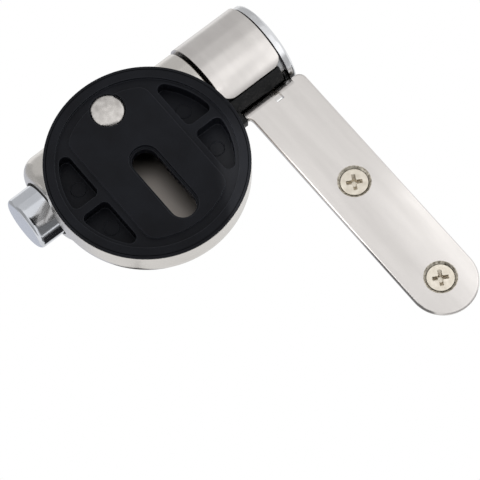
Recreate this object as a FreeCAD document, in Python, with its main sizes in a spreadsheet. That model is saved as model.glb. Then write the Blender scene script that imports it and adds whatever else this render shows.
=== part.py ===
"""Parametric model of a soft-closing, lift-off toilet seat hinge.

The frame: origin at the centre of the base pad on the ceramic, +Z up, +X along the barrel from the release
button to the end cap, +Y from the barrel towards the tip of the seat strap. All sizes are in millimetres.
"""
import FreeCAD
import Part
import Sketcher

import math
import os
import re

DIMENSIONS = {
    # Base: the steel cup and the moulded pad in it
    "cup_radius": 28.2,
    "cup_height": 13.6,
    "cup_wall": 2.0,
    "cup_lip": 0.7,
    "cup_round": 7.0,
    "cup_foot_gap": 0.4,
    "pad_thickness": 7.0,
    "pad_rim_width": 2.5,
    "pad_floor_depth": 0.9,
    "plateau_set_back": 0.3,
    "plateau_half_width": 13.4,
    "plateau_margin": 5.2,
    "plateau_corner": 4.0,
    "pocket_wall": 1.8,
    "pocket_margin": 3.6,
    "pocket_depth": 5.2,
    "pocket_rib": 2.4,
    "pocket_corner": 1.8,
    "slot_width": 8.8,
    "slot_near": -0.8,
    "slot_far": 15.4,
    "slot_ledge": 0.7,
    "slot_ledge_depth": 1.6,
    "bolt_head_width": 14.0,
    "bolt_head_depth": 2.6,
    # Barrel
    "barrel_inset": 12.7,
    "barrel_height": 25.0,
    "barrel_radius": 13.9,
    "barrel_start_inset": 4.0,
    "barrel_overhang": 2.0,
    "barrel_round": 5.2,
    "barrel_bore": 9.8,
    "barrel_shoulder": 5.2,
    "barrel_edge": 0.8,
    "saddle_margin": 5.2,
    "saddle_half_width": 12.2,
    "saddle_corner": 5.0,
    "key_width": 4.0,
    "key_height": 1.4,
    # Release latch
    "stud_back": 3.3,
    "stud_shift": 1.3,
    "stud_dome_radius": 4.85,
    "stud_dome_height": 1.1,
    "stud_radius": 3.0,
    "stud_neck_radius": 1.9,
    "stud_neck_length": 4.8,
    "stud_head_radius": 2.9,
    "stud_head_height": 2.5,
    "stud_seat": 1.3,
    "stud_collar_radius": 4.2,
    "stud_collar_height": 1.2,
    "stud_washer_radius": 6.0,
    "stud_washer_thickness": 1.0,
    "button_radius": 8.1,
    "button_stand_out": 8.1,
    "button_round": 1.4,
    "button_travel": 4.0,
    "button_stem_radius": 3.0,
    "button_stem_length": 6.0,
    "plunger_ledge": 4.2,
    "spring_room": 8.0,
    "spring_radius": 3.9,
    "spring_wire": 1.0,
    "spring_turns": 5.5,
    "spring_pocket_radius": 5.0,
    "spring_pocket_depth": 6.0,
    # Damper inside the strap's curl
    "plug_length": 10.2,
    "plug_nose_radius": 2.7,
    "plug_nose_length": 4.0,
    "shank_radius": 4.0,
    "shank_flat": 3.0,
    "shank_length": 8.0,
    "journal_radius": 4.5,
    "washer_radius": 11.2,
    "washer_thickness": 0.6,
    "chamber_radius": 9.5,
    "chamber_length": 9.5,
    "bypass_depth": 0.4,
    "bypass_start": 70.0,
    "bypass_sweep": 50.0,
    "cover_radius": 10.3,
    "cover_thickness": 2.8,
    "vane_thickness": 2.0,
    "vane_lean": 12.0,
    "dam_thickness": 3.0,
    "dam_lead": 34.0,
    "tail_journal_radius": 2.9,
    "tail_journal_length": 2.3,
    "seal_section": 0.42,
    "body_length": 18.8,
    "lug_set_back": 0.5,
    "lug_sweep": 21.0,
    "lug_clearance": 3.0,
    "key_lug_reach": 0.7,
    # Seat strap and its end cap
    "sheet": 1.8,
    "curl_radius": 14.4,
    "curl_gap": 0.8,
    "curl_width": 20.2,
    "curl_mouth": 43.0,
    "curl_corner_inner": 4.0,
    "curl_corner_outer": 3.0,
    "bend_radius": 1.5,
    "strap_drop": 5.0,
    "strap_width": 20.0,
    "strap_reach": 96.6,
    "shoulder_width": 3.8,
    "shoulder_lead": 2.0,
    "shoulder_corner": 2.5,
    "strap_edge": 0.6,
    "root_flare": 0.9,
    "flare_radius": 3.0,
    "notch_width": 2.4,
    "notch_reach": 1.5,
    "screw_near": 49.2,
    "screw_pitch": 36.5,
    "screw_head_radius": 3.95,
    "screw_radius": 2.0,
    "screw_length": 15.75,
    "screw_tip": 3.5,
    "screw_point": 0.25,
    "screw_sink": 0.5,
    "countersink_radius": 4.6,
    "recess_span": 4.7,
    "recess_width": 1.05,
    "recess_depth": 1.8,
    "recess_floor": 1.6,
    "recess_hub": 1.9,
    "recess_turn": 31.0,
    "cap_radius": 13.7,
    "cap_thickness": 2.4,
    "cap_gap": 0.6,
    "cap_round": 1.1,
    "cap_spigot_radius": 5.5,
    "cap_spigot_length": 2.8,
    # Clearances, and how far a cutter passes the face that it cuts
    "running_gap": 0.2,
    "latch_gap": 0.3,
    "seat_gap": 0.05,
    "past": 1.0,
}

# Places and sizes worked out from the driving dimensions
PAD_RADIUS = "(cup_radius - cup_lip - 2 * seat_gap)"
POCKET_RADIUS = f"({PAD_RADIUS} - pocket_margin)"
AXIS_Y = "(barrel_inset - cup_radius)"
AXIS_Z = "barrel_height"
BARREL_X = "(barrel_start_inset - cup_radius)"
BARREL_END = "(cup_radius + barrel_overhang)"
SHOULDER_X = f"({BARREL_X} + barrel_shoulder)"
STUD_X = "stud_shift"
STUD_Y = f"({AXIS_Y} - stud_back)"
PLUG_X = f"({BARREL_END} - plug_length)"
PLUNGER_END = f"({PLUG_X} - spring_room)"
CURL_X = f"({BARREL_END} + curl_gap)"
CURL_END = f"({CURL_X} + curl_width)"
CHAMBER_X = f"({CURL_X} + cover_thickness)"
CHAMBER_END = f"({CHAMBER_X} + chamber_length)"
BODY_END = f"({CURL_X} + body_length)"
CAP_X = f"({CURL_END} + cap_gap)"
CORE_RADIUS = "(curl_radius - sheet - seat_gap)"
STRAP_X = f"({CURL_END} + shoulder_width - strap_width)"
ROOT_X = f"({STRAP_X} - root_flare)"
STRAP_MID_X = f"({STRAP_X} + strap_width / 2)"
STRAP_Z = f"({AXIS_Z} - strap_drop)"
BEND_Y = f"({AXIS_Y} + curl_radius + bend_radius)"
BEND_Z = f"({STRAP_Z} + sheet + bend_radius)"
TIP_Y = f"({AXIS_Y} + strap_reach - strap_width / 2)"
LEDGE_Z = f"({AXIS_Z} - barrel_bore + plunger_ledge)"
CEILING_Z = "(cup_height - cup_wall)"
SCREW_STATIONS = (f"({AXIS_Y} + screw_near)", f"({AXIS_Y} + screw_near + screw_pitch)")

ALONG_X = FreeCAD.Rotation(FreeCAD.Vector(0, 1, 0), 90)
AGAINST_X = FreeCAD.Rotation(FreeCAD.Vector(0, 1, 0), -90)
UPRIGHT = FreeCAD.Rotation()
SAME = 1e-3
SKETCH_START = 20.0

doc = FreeCAD.newDocument("toilet_seat_hinge")
dims = doc.addObject("Spreadsheet::Sheet", "dims")
for row, (alias, size) in enumerate(DIMENSIONS.items(), start=1):
    dims.set(f"A{row}", alias)
    dims.set(f"B{row}", str(size))
    dims.setAlias(f"B{row}", alias)
doc.recompute()


def value(alias):
    """Read a driving dimension back from the sheet."""
    return float(dims.get(alias))


def formula(text):
    """Turn dimension names in a formula into references to the sheet's cells."""
    def cell(word):
        return f"dims.{word[0]}" if word[0] in DIMENSIONS else word[0]
    return re.sub(r"[a-z_]+", cell, str(text))


def bind(item, **properties):
    """Bind properties of a document object to formulas."""
    for name, text in properties.items():
        item.setExpression(name, formula(text))
    return item


def place(item, x, y, z, rotation=UPRIGHT):
    """Put an object at a place given by formulas."""
    item.Placement = FreeCAD.Placement(FreeCAD.Vector(), rotation)
    for axis, text in zip("xyz", (x, y, z)):
        item.setExpression(f"Placement.Base.{axis}", formula(text))
    return item


def box(name, low, size):
    """Make a box from its low corner and its three lengths."""
    item = doc.addObject("Part::Box", name)
    bind(item, Length=size[0], Width=size[1], Height=size[2])
    return place(item, *low)


def rod(name, radius, length, x, y=AXIS_Y, z=AXIS_Z):
    """Make a cylinder that runs along +X, by default on the barrel's axis."""
    item = doc.addObject("Part::Cylinder", name)
    bind(item, Radius=radius, Height=length)
    return place(item, x, y, z, ALONG_X)


def post(name, radius, length, x, y, z):
    """Make a cylinder that stands along +Z."""
    item = doc.addObject("Part::Cylinder", name)
    bind(item, Radius=radius, Height=length)
    return place(item, x, y, z)


def cone(name, low_radius, high_radius, length, x, y, z):
    """Make a cone that stands along +Z."""
    item = doc.addObject("Part::Cone", name)
    bind(item, Radius1=low_radius, Radius2=high_radius, Height=length)
    return place(item, x, y, z)


def fuse(name, *items):
    """Join solids into one."""
    item = doc.addObject("Part::MultiFuse", name)
    item.Shapes = list(items)
    item.Refine = True
    return item


def cut(name, base, *tools):
    """Take tools away from a solid."""
    item = doc.addObject("Part::Cut", name)
    item.Base = base
    item.Tool = tools[0] if len(tools) == 1 else fuse(f"{name}_tools", *tools)
    item.Refine = True
    return item


def common(name, first, second):
    """Keep what two solids share."""
    item = doc.addObject("Part::MultiCommon", name)
    item.Shapes = [first, second]
    item.Refine = True
    return item


def round_edges(name, base, radius, wanted):
    """Fillet the edges of a solid that a test of the edge and the solid's box picks out."""
    doc.recompute()
    bounds = base.Shape.BoundBox
    item = doc.addObject("Part::Fillet", name)
    item.Base = base
    edges = enumerate(base.Shape.Edges, start=1)
    item.Edges = [(i, radius, radius) for i, edge in edges if wanted(edge, bounds)]
    return item


def is_line(edge):
    """Test for a straight edge."""
    return not edge.Degenerated and isinstance(edge.Curve, Part.Line)


def upright_edge(edge, bounds):
    """Test for a straight edge along +Z."""
    return is_line(edge) and abs(edge.Curve.Direction.z) > 1 - SAME


def ring_edge(radius, axis, far):
    """Make a test for the circles of one radius at the near or far end of a solid along an axis."""
    def wanted(edge, bounds):
        if edge.Degenerated or not isinstance(edge.Curve, Part.Circle):
            return False
        low = (bounds.XMin, bounds.YMin, bounds.ZMin)
        high = (bounds.XMax, bounds.YMax, bounds.ZMax)
        end = high[axis] if far else low[axis]
        return abs(edge.Curve.Radius - radius) < SAME and abs(edge.CenterOfMass[axis] - end) < SAME
    return wanted


def mouth_edge(far):
    """Make a test for the radial edge at the curl's free end, on its near or far side along the barrel."""
    mouth = math.radians(-value("curl_mouth"))
    radial = FreeCAD.Vector(0, math.cos(mouth), math.sin(mouth))

    def wanted(edge, bounds):
        if not is_line(edge) or abs(edge.Curve.Direction.dot(radial)) < 1 - SAME:
            return False
        return abs(edge.CenterOfMass.x - (bounds.XMax if far else bounds.XMin)) < SAME
    return wanted


def outline(sketch, corners):
    """Draw a closed outline whose corners are pairs of formulas."""
    count = len(corners)
    turns = [2 * math.pi * i / count for i in range(count)]
    starts = [FreeCAD.Vector(SKETCH_START + math.cos(turn), math.sin(turn), 0) for turn in turns]
    for i, start in enumerate(starts):
        sketch.addGeometry(Part.LineSegment(start, starts[(i + 1) % count]), False)
    for i, (across, up) in enumerate(corners):
        sketch.addConstraint(Sketcher.Constraint("Coincident", i, 2, (i + 1) % count, 1))
        for kind, coordinate, text in (("DistanceX", starts[i].x, across), ("DistanceY", starts[i].y, up)):
            index = sketch.addConstraint(Sketcher.Constraint(kind, i, 1, coordinate))
            sketch.setExpression(f"Constraints[{index}]", formula(text))


def turned(name, corners):
    """Turn a profile of (radius, height) corners about its own +Z axis."""
    body = doc.addObject("PartDesign::Body", name)
    sketch = body.newObject("Sketcher::SketchObject", f"{name}_profile")
    plane = next(item for item in body.Origin.OriginFeatures if item.Role == "XZ_Plane")
    sketch.AttachmentSupport = [(plane, "")]
    sketch.MapMode = "FlatFace"
    outline(sketch, corners)
    turn = body.newObject("PartDesign::Revolution", f"{name}_turn")
    turn.Profile = sketch
    turn.ReferenceAxis = (sketch, ["V_Axis"])
    turn.Angle = 360
    body.Tip = turn
    return body


def paddle(name, thickness, reach, angle, x, length):
    """Make a bar across the barrel's axis, leaning by an angle about +X."""
    item = doc.addObject("Part::Box", name)
    bind(item, Length=length, Width=f"2 * ({reach})", Height=thickness)
    lean = f"(({angle}) * 1 deg)"
    low_y = f"{AXIS_Y} - ({reach}) * cos({lean}) + {thickness} / 2 * sin({lean})"
    low_z = f"{AXIS_Z} - ({reach}) * sin({lean}) - {thickness} / 2 * cos({lean})"
    place(item, x, low_y, low_z, FreeCAD.Rotation(FreeCAD.Vector(1, 0, 0), 1))
    item.setExpression("Placement.Rotation.Angle", formula(f"({angle}) * 1 deg"))
    return item


def sector(name, radius, length, first, sweep, x, y=AXIS_Y, z=AXIS_Z):
    """Make a wedge of a cylinder along +X, from a first angle above +Y and over a sweep."""
    item = doc.addObject("Part::Cylinder", name)
    bind(item, Radius=radius, Height=length, Angle=sweep)
    start = FreeCAD.Rotation(FreeCAD.Vector(0, 0, 1), first)
    place(item, x, y, z, FreeCAD.Rotation(FreeCAD.Vector(1, 1, 1), 120).multiply(start))
    return item


def slot_tool(name, half, z, height):
    """Make the three solids that cut a round-ended slot along +Y."""
    size = (f"2 * {half}", "slot_far - slot_near", height)
    middle = box(f"{name}_middle", (f"-{half}", "slot_near", z), size)
    near = post(f"{name}_near", half, height, 0, "slot_near", z)
    far = post(f"{name}_far", half, height, 0, "slot_far", z)
    return [middle, near, far]


def pocket(side, way):
    """Make the tool for one pocket of the pad, on one side of the raised middle and one way along it."""
    tag = f"{'left' if side < 0 else 'right'}_{'back' if way < 0 else 'front'}"
    inner = "(plateau_half_width + pocket_wall)"
    height = "pocket_depth + past"
    low_x = inner if side > 0 else f"-{inner} - {POCKET_RADIUS}"
    low_y = "pocket_rib / 2" if way > 0 else f"-pocket_rib / 2 - {POCKET_RADIUS}"
    block = box(f"pocket_block_{tag}", (low_x, low_y, "-past"), (POCKET_RADIUS, POCKET_RADIUS, height))
    bound = post(f"pocket_bound_{tag}", POCKET_RADIUS, height, 0, 0, "-past")
    raw = common(f"pocket_raw_{tag}", block, bound)
    return round_edges(f"pocket_{tag}", raw, value("pocket_corner"), upright_edge)


def base_pad():
    """Moulded pad: rim, raised middle, four pockets, bolt slot and the recess for the bolt's head."""
    blank = post("pad_blank", PAD_RADIUS, "pad_thickness", 0, 0, 0)
    inside = f"{PAD_RADIUS} - pad_rim_width"
    sunk = post("pad_sunk", inside, "plateau_set_back + past", 0, 0, "-past")
    floor = post("pad_floor", inside, "pad_floor_depth + past", 0, 0, "-past")
    tall = "pad_floor_depth + 4 * past"
    band_size = ("2 * plateau_half_width", f"2 * {PAD_RADIUS}", tall)
    band = box("pad_band", ("-plateau_half_width", f"-{PAD_RADIUS}", "-2 * past"), band_size)
    end = post("pad_band_end", f"{PAD_RADIUS} - plateau_margin", tall, 0, 0, "-2 * past")
    square = common("pad_square", band, end)
    plateau = round_edges("pad_plateau", square, value("plateau_corner"), upright_edge)
    tools = [sunk, cut("pad_moat", floor, plateau)]
    tools.extend(pocket(side, way) for side in (-1, 1) for way in (-1, 1))
    narrow = "(slot_width / 2 - slot_ledge)"
    through = "pad_thickness + 2 * past"
    head_z = "pad_thickness - bolt_head_depth"
    tools.extend(slot_tool("slot_mouth", "slot_width / 2", "-past", "slot_ledge_depth + past"))
    tools.extend(slot_tool("slot_through", narrow, "-past", through))
    tools.extend(slot_tool("slot_head", "bolt_head_width / 2", head_z, "bolt_head_depth + past"))
    sink_radius = "stud_dome_radius + running_gap"
    tools.append(post("stud_sink", sink_radius, "stud_seat + past", STUD_X, STUD_Y, "-past"))
    tools.append(post("stud_hole", "stud_radius + seat_gap", through, STUD_X, STUD_Y, "-past"))
    return cut("base_pad", blank, *tools)


def hinge_housing():
    """Steel cup and barrel in one piece, with the bores for the button, plunger, plug and stud."""
    drum = post("cup_drum", "cup_radius", "cup_height - cup_foot_gap", 0, 0, "cup_foot_gap")
    cup = round_edges("cup_outside", drum, value("cup_round"), ring_edge(value("cup_radius"), 2, True))
    tube = rod("barrel_tube", "barrel_radius", f"{BARREL_END} - {BARREL_X}", BARREL_X)
    start_edge = ring_edge(value("barrel_radius"), 0, False)
    end_edge = ring_edge(value("barrel_radius"), 0, True)
    domed = round_edges("barrel_domed", tube, value("barrel_round"), start_edge)
    barrel = round_edges("barrel_outside", domed, value("barrel_edge"), end_edge)
    rise = f"{AXIS_Z} - {CEILING_Z}"
    saddle_radius = "(cup_radius - saddle_margin)"
    column = post("saddle_column", saddle_radius, rise, 0, 0, CEILING_Z)
    low = (f"-{saddle_radius}", f"{AXIS_Y} - saddle_half_width", CEILING_Z)
    slab = box("saddle_slab", low, (f"2 * {saddle_radius}", "2 * saddle_half_width", rise))
    block = common("saddle_block", column, slab)
    saddle = round_edges("saddle", block, value("saddle_corner"), upright_edge)
    body = fuse("housing_outside", cup, barrel, saddle)
    hollow = post("cup_hollow", "cup_radius - cup_wall", CEILING_Z, 0, 0, 0)
    hollow_edge = ring_edge(value("cup_radius") - value("cup_wall"), 2, True)
    lip_depth = "pad_thickness - cup_foot_gap + past"
    key_low = (PLUG_X, f"{AXIS_Y} - key_width / 2", AXIS_Z)
    tools = [
        round_edges("cup_cavity", hollow, value("cup_round") - value("cup_wall"), hollow_edge),
        post("cup_lip_bore", "cup_radius - cup_lip", lip_depth, 0, 0, "cup_foot_gap - past"),
        rod("main_bore", "barrel_bore", f"{BARREL_END} - {SHOULDER_X} + past", SHOULDER_X),
        rod("button_bore", "button_radius + running_gap", "barrel_shoulder + 2 * past",
            f"{BARREL_X} - past"),
        box("keyway", key_low, ("plug_length + past", "key_width", "barrel_bore + key_height")),
        post("stud_way", "stud_radius + running_gap", rise, STUD_X, STUD_Y, f"{CEILING_Z} - past"),
    ]
    return cut("hinge_housing", body, *tools)


def latch_stud():
    """Riveted stud: domed foot under the pad, swaged collar, neck and mushroom head for the latch."""
    dome = doc.addObject("Part::Ellipsoid", "stud_dome")
    bind(dome, Radius1="stud_dome_height", Radius2="stud_dome_radius", Radius3="stud_dome_radius")
    dome.Angle1 = -90
    dome.Angle2 = 0
    place(dome, STUD_X, STUD_Y, "stud_seat")
    collar_low = "(pad_thickness + stud_washer_thickness - stud_seat)"
    neck_low = f"({LEDGE_Z} + running_gap - stud_neck_length - stud_seat)"
    head_low = f"({LEDGE_Z} + running_gap - stud_seat)"
    stem = turned("stud_stem", [
        (0, 0),
        ("stud_radius", 0),
        ("stud_radius", collar_low),
        ("stud_collar_radius", collar_low),
        ("stud_collar_radius", f"{collar_low} + stud_collar_height"),
        ("stud_radius", f"{collar_low} + stud_collar_height"),
        ("stud_radius", neck_low),
        ("stud_neck_radius", neck_low),
        ("stud_neck_radius", head_low),
        ("stud_head_radius", head_low),
        ("stud_head_radius", f"{head_low} + stud_head_height / 2"),
        ("stud_neck_radius", f"{head_low} + stud_head_height"),
        (0, f"{head_low} + stud_head_height"),
    ])
    place(stem, STUD_X, STUD_Y, "stud_seat")
    return fuse("latch_stud", dome, stem)


def stud_washer():
    """Washer that spreads the stud's rivet over the pad."""
    thick = "stud_washer_thickness"
    disc = post("stud_washer_disc", "stud_washer_radius", thick, STUD_X, STUD_Y, "pad_thickness")
    hole = post("stud_washer_hole", "stud_radius + seat_gap", f"{thick} + 2 * past", STUD_X, STUD_Y,
                "pad_thickness - past")
    return cut("stud_washer", disc, hole)


def release_button():
    """Chromed button with a rounded end and a stem that presses into the plunger."""
    length = "(button_stand_out + barrel_shoulder)"
    crown = turned("button_turned", [
        (0, "-button_stem_length"),
        ("button_stem_radius", "-button_stem_length"),
        ("button_stem_radius", 0),
        ("button_radius", 0),
        ("button_radius", length),
        (0, length),
    ])
    edge = ring_edge(value("button_radius"), 2, True)
    button = round_edges("release_button", crown, value("button_round"), edge)
    return place(button, SHOULDER_X, AXIS_Y, AXIS_Z, AGAINST_X)


def release_plunger():
    """Plunger with a keyhole that grips the stud's neck until the button is pressed."""
    barrel = rod("plunger_rod", "barrel_bore - running_gap", f"{PLUNGER_END} - {SHOULDER_X}", SHOULDER_X)
    neck = "(stud_neck_radius + latch_gap)"
    wide = "(stud_head_radius + latch_gap)"
    drop = f"({AXIS_Z} - barrel_bore)"
    deep = "plunger_ledge + past"
    wide_x = f"({STUD_X} - button_travel)"
    slot_size = ("button_travel", f"2 * {neck}", deep)
    room_size = (f"button_travel + 2 * {wide}", f"2 * {wide}", "2 * barrel_bore")
    stem_hole = "button_stem_radius + seat_gap"
    spring_x = f"{PLUNGER_END} - spring_pocket_depth"
    tools = [
        rod("plunger_socket", stem_hole, "button_stem_length + past", f"{SHOULDER_X} - past"),
        rod("plunger_spring_pocket", "spring_pocket_radius", "spring_pocket_depth + past", spring_x),
        post("keyhole_end", neck, deep, STUD_X, STUD_Y, drop),
        box("keyhole_slot", (wide_x, f"{STUD_Y} - {neck}", drop), slot_size),
        post("keyhole_wide", wide, deep, wide_x, STUD_Y, drop),
        box("head_room", (f"{wide_x} - {wide}", f"{STUD_Y} - {wide}", LEDGE_Z), room_size),
    ]
    return cut("release_plunger", barrel, *tools)


def button_spring():
    """Coil spring that pushes the plunger and its button back out."""
    start = f"({PLUNGER_END} - spring_pocket_depth + spring_wire / 2 + running_gap)"
    finish = f"({PLUG_X} - spring_wire / 2 - running_gap)"
    coil = doc.addObject("Part::Helix", "spring_coil")
    length = f"({finish} - {start})"
    bind(coil, Pitch=f"{length} / spring_turns", Height=length, Radius="spring_radius")
    ring = doc.addObject("Part::Circle", "spring_section")
    bind(ring, Radius="spring_wire / 2")
    place(ring, "spring_radius", 0, 0, FreeCAD.Rotation(FreeCAD.Vector(1, 0, 0), 90))
    wire = doc.addObject("Part::Sweep", "button_spring")
    wire.Sections = [ring]
    wire.Spine = (coil, [])
    wire.Solid = True
    wire.Frenet = True
    return place(wire, start, AXIS_Y, AXIS_Z, ALONG_X)


def shank(name, length, growth):
    """Make the two-flat shank of the damper, or the socket for it when it is grown."""
    start = f"({BARREL_END} - shank_length)"
    bar = rod(f"{name}_round", f"shank_radius + {growth}", length, start)
    flat = f"(shank_flat + {growth})"
    low = (start, f"{AXIS_Y} - shank_radius - past", f"{AXIS_Z} - {flat}")
    flats = box(f"{name}_flats", low, (length, "2 * shank_radius + 2 * past", f"2 * {flat}"))
    return common(name, bar, flats)


def barrel_plug():
    """Keyed plug that closes the barrel, seats the spring and holds the damper's shank still."""
    plug = turned("plug_turned", [
        (0, "-plug_nose_length"),
        ("plug_nose_radius", "-plug_nose_length"),
        ("plug_nose_radius", 0),
        ("barrel_bore - seat_gap", 0),
        ("barrel_bore - seat_gap", "plug_length"),
        (0, "plug_length"),
    ])
    place(plug, PLUG_X, AXIS_Y, AXIS_Z, ALONG_X)
    half = "(key_width / 2 - seat_gap)"
    key_size = ("plug_length", f"2 * {half}", "barrel_bore + key_height - running_gap")
    key = box("plug_key", (PLUG_X, f"{AXIS_Y} - {half}", AXIS_Z), key_size)
    socket = shank("plug_socket", "shank_length + past", "seat_gap")
    return cut("barrel_plug", fuse("plug_keyed", plug, key), socket)


def thrust_washer():
    """Slip washer between the barrel and the strap's curl."""
    start = f"{BARREL_END} + (curl_gap - washer_thickness) / 2"
    disc = rod("washer_disc", "washer_radius", "washer_thickness", start)
    hole_length = "washer_thickness + 2 * past"
    hole = rod("washer_hole", "journal_radius + running_gap", hole_length, f"{start} - past")
    return cut("thrust_washer", disc, hole)


def damper_rotor():
    """Rotor that stays with the barrel: shank, sealed journal, two vanes and a tail journal."""
    journal_x = f"{BARREL_END} + seat_gap"
    journal_end = f"{CHAMBER_END} - running_gap"
    journal = rod("rotor_journal", "journal_radius", f"{journal_end} - ({journal_x})", journal_x)
    tail = rod("rotor_tail", "tail_journal_radius", "tail_journal_length", journal_end)
    vane_length = "chamber_length - 2 * running_gap"
    vanes = paddle("rotor_vanes", "vane_thickness", "chamber_radius - running_gap", "vane_lean",
                   f"{CHAMBER_X} + running_gap", vane_length)
    fit = shank("rotor_shank", "shank_length + past", "0")
    whole = fuse("rotor_whole", journal, tail, vanes, fit)
    middle = f"({CURL_X} + cover_thickness / 2)"
    ring = rod("groove_ring", "journal_radius + past", "4 * seal_section", f"{middle} - 2 * seal_section")
    core = rod("groove_core", "journal_radius - 2 * seal_section", "6 * seal_section",
               f"{middle} - 3 * seal_section")
    return cut("damper_rotor", whole, cut("rotor_groove", ring, core))


def damper_seal():
    """Ring seal in the rotor's groove."""
    ring = doc.addObject("Part::Torus", "damper_seal")
    bind(ring, Radius1="journal_radius - seal_section", Radius2="seal_section")
    return place(ring, f"{CURL_X} + cover_thickness / 2", AXIS_Y, AXIS_Z, ALONG_X)


def damper_body():
    """Black damper housing that fills the curl: two dams and a bypass groove inside, two lugs outside."""
    core = rod("body_core", CORE_RADIUS, "body_length", CURL_X)
    first = value("lug_clearance") - value("curl_mouth")
    outer = sector("lug_outer", "curl_radius - lug_set_back", "body_length", first, "lug_sweep", CURL_X)
    inner = rod("lug_inner", f"{CORE_RADIUS} - past", "body_length + 2 * past", f"{CURL_X} - past")
    lug = cut("body_lug", outer, inner)
    key_start = f"({AXIS_Y} + cover_radius + running_gap)"
    key_low = (f"{CURL_X} + running_gap", key_start, f"{STRAP_Z} + running_gap")
    key_y = f"{BEND_Y} + key_lug_reach - {key_start}"
    key_z = f"{BEND_Z} - {STRAP_Z} - 2 * running_gap"
    key_x = f"{ROOT_X} - {CURL_X} - 2 * running_gap"
    key = box("key_lug", key_low, (key_x, key_y, key_z))
    bypass_x = f"{CHAMBER_X} + chamber_length / 3"
    socket_x = f"{BODY_END} - cap_spigot_length - running_gap"
    socket_length = "cap_spigot_length + running_gap + past"
    tools = [
        rod("cover_seat", "cover_radius + seat_gap", "cover_thickness + past", f"{CURL_X} - past"),
        rod("chamber", "chamber_radius", "chamber_length", CHAMBER_X),
        sector("bypass", "chamber_radius + bypass_depth", "chamber_length / 3", value("bypass_start"),
               "bypass_sweep", bypass_x),
        rod("tail_bearing", "tail_journal_radius + seat_gap", "tail_journal_length + running_gap",
            CHAMBER_END),
        rod("cap_socket", "cap_spigot_radius + seat_gap", socket_length, socket_x),
    ]
    hollow = cut("body_hollow", fuse("body_outside", core, lug, key), *tools)
    bar = paddle("dam_bar", "dam_thickness", "chamber_radius + past", "vane_lean + dam_lead", CHAMBER_X,
                 "chamber_length")
    waist = rod("dam_waist", "journal_radius + running_gap", "chamber_length + 2 * past",
                f"{CHAMBER_X} - past")
    return fuse("damper_body", hollow, cut("dams", bar, waist))


def damper_cover():
    """Disc that closes the damper and bears on the rotor's journal."""
    disc = rod("cover_disc", "cover_radius", "cover_thickness", CURL_X)
    hole = rod("cover_hole", "journal_radius + seat_gap", "cover_thickness + 2 * past", f"{CURL_X} - past")
    return cut("damper_cover", disc, hole)


def end_cap():
    """Chromed cap with a rounded flange, a neck inside the curl and a spigot in the damper."""
    neck = f"({CAP_X} - {BODY_END} - seat_gap)"
    blank = turned("cap_turned", [
        (0, f"-{neck} - cap_spigot_length"),
        ("cap_spigot_radius", f"-{neck} - cap_spigot_length"),
        ("cap_spigot_radius", f"-{neck}"),
        (f"{CORE_RADIUS} - running_gap", f"-{neck}"),
        (f"{CORE_RADIUS} - running_gap", 0),
        ("cap_radius", 0),
        ("cap_radius", "cap_thickness"),
        (0, "cap_thickness"),
    ])
    place(blank, CAP_X, AXIS_Y, AXIS_Z, ALONG_X)
    return round_edges("end_cap", blank, value("cap_round"), ring_edge(value("cap_radius"), 0, True))


def strap_curl():
    """Make the rolled part of the strap, with rounded corners at its free end."""
    outer = sector("curl_outer", "curl_radius", "curl_width", 0, "360 - curl_mouth", CURL_X)
    inner = rod("curl_inner", "curl_radius - sheet", "curl_width + 2 * past", f"{CURL_X} - past")
    ring = cut("curl_ring", outer, inner)
    near = round_edges("curl_near_corner", ring, value("curl_corner_inner"), mouth_edge(False))
    return round_edges("curl", near, value("curl_corner_outer"), mouth_edge(True))


def strap_bend():
    """Make the web under the curl and the bend that turns it into the tongue."""
    web_low = (CURL_X, f"{AXIS_Y} + curl_radius - sheet", BEND_Z)
    web = box("curl_web", web_low, ("curl_width", "sheet", f"{AXIS_Z} - {BEND_Z}"))
    shared = f"({CURL_END} - {ROOT_X})"
    outer = sector("bend_outer", "bend_radius + sheet", shared, 180, "90", ROOT_X, BEND_Y, BEND_Z)
    inner = rod("bend_inner", "bend_radius", f"{shared} + 2 * past", f"{ROOT_X} - past", BEND_Y, BEND_Z)
    return fuse("bend", web, cut("bend_ring", outer, inner))


def strap_tongue():
    """Make the flat tongue with its shoulder, its flared root, its round tip and its softened edges."""
    flat = box("tongue_flat", (STRAP_X, BEND_Y, STRAP_Z), ("strap_width", f"{TIP_Y} - {BEND_Y}", "sheet"))
    shoulder_size = ("shoulder_width", "2 * shoulder_lead", "sheet")
    shoulder = box("shoulder", (CURL_END, f"{BEND_Y} - shoulder_lead", STRAP_Z), shoulder_size)
    tip = post("tongue_tip", "strap_width / 2", "sheet", STRAP_MID_X, TIP_Y, STRAP_Z)
    flare_length = "sqrt(flare_radius^2 - (flare_radius - root_flare)^2)"
    block = box("flare_block", (ROOT_X, BEND_Y, STRAP_Z), ("root_flare", flare_length, "sheet"))
    sweep = post("flare_sweep", "flare_radius", "sheet + 2 * past", f"{STRAP_X} - flare_radius",
                 f"{BEND_Y} + {flare_length}", f"{STRAP_Z} - past")
    doc.recompute()
    root = flat.Shape.BoundBox.YMin
    inner_side = shoulder.Shape.BoundBox.XMin

    def outer_corner(edge, bounds):
        corner = FreeCAD.Vector(bounds.XMax, bounds.YMin, edge.CenterOfMass.z)
        return upright_edge(edge, bounds) and edge.CenterOfMass.distanceToPoint(corner) < SAME

    def face_edge(edge, bounds):
        middle = edge.CenterOfMass
        return not upright_edge(edge, bounds) and (middle.y > root + SAME or middle.x > inner_side + SAME)

    square = fuse("tongue_square", flat, shoulder, tip, cut("flare", block, sweep))
    cornered = round_edges("tongue_cornered", square, value("shoulder_corner"), outer_corner)
    return round_edges("tongue", cornered, value("strap_edge"), face_edge)


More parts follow.
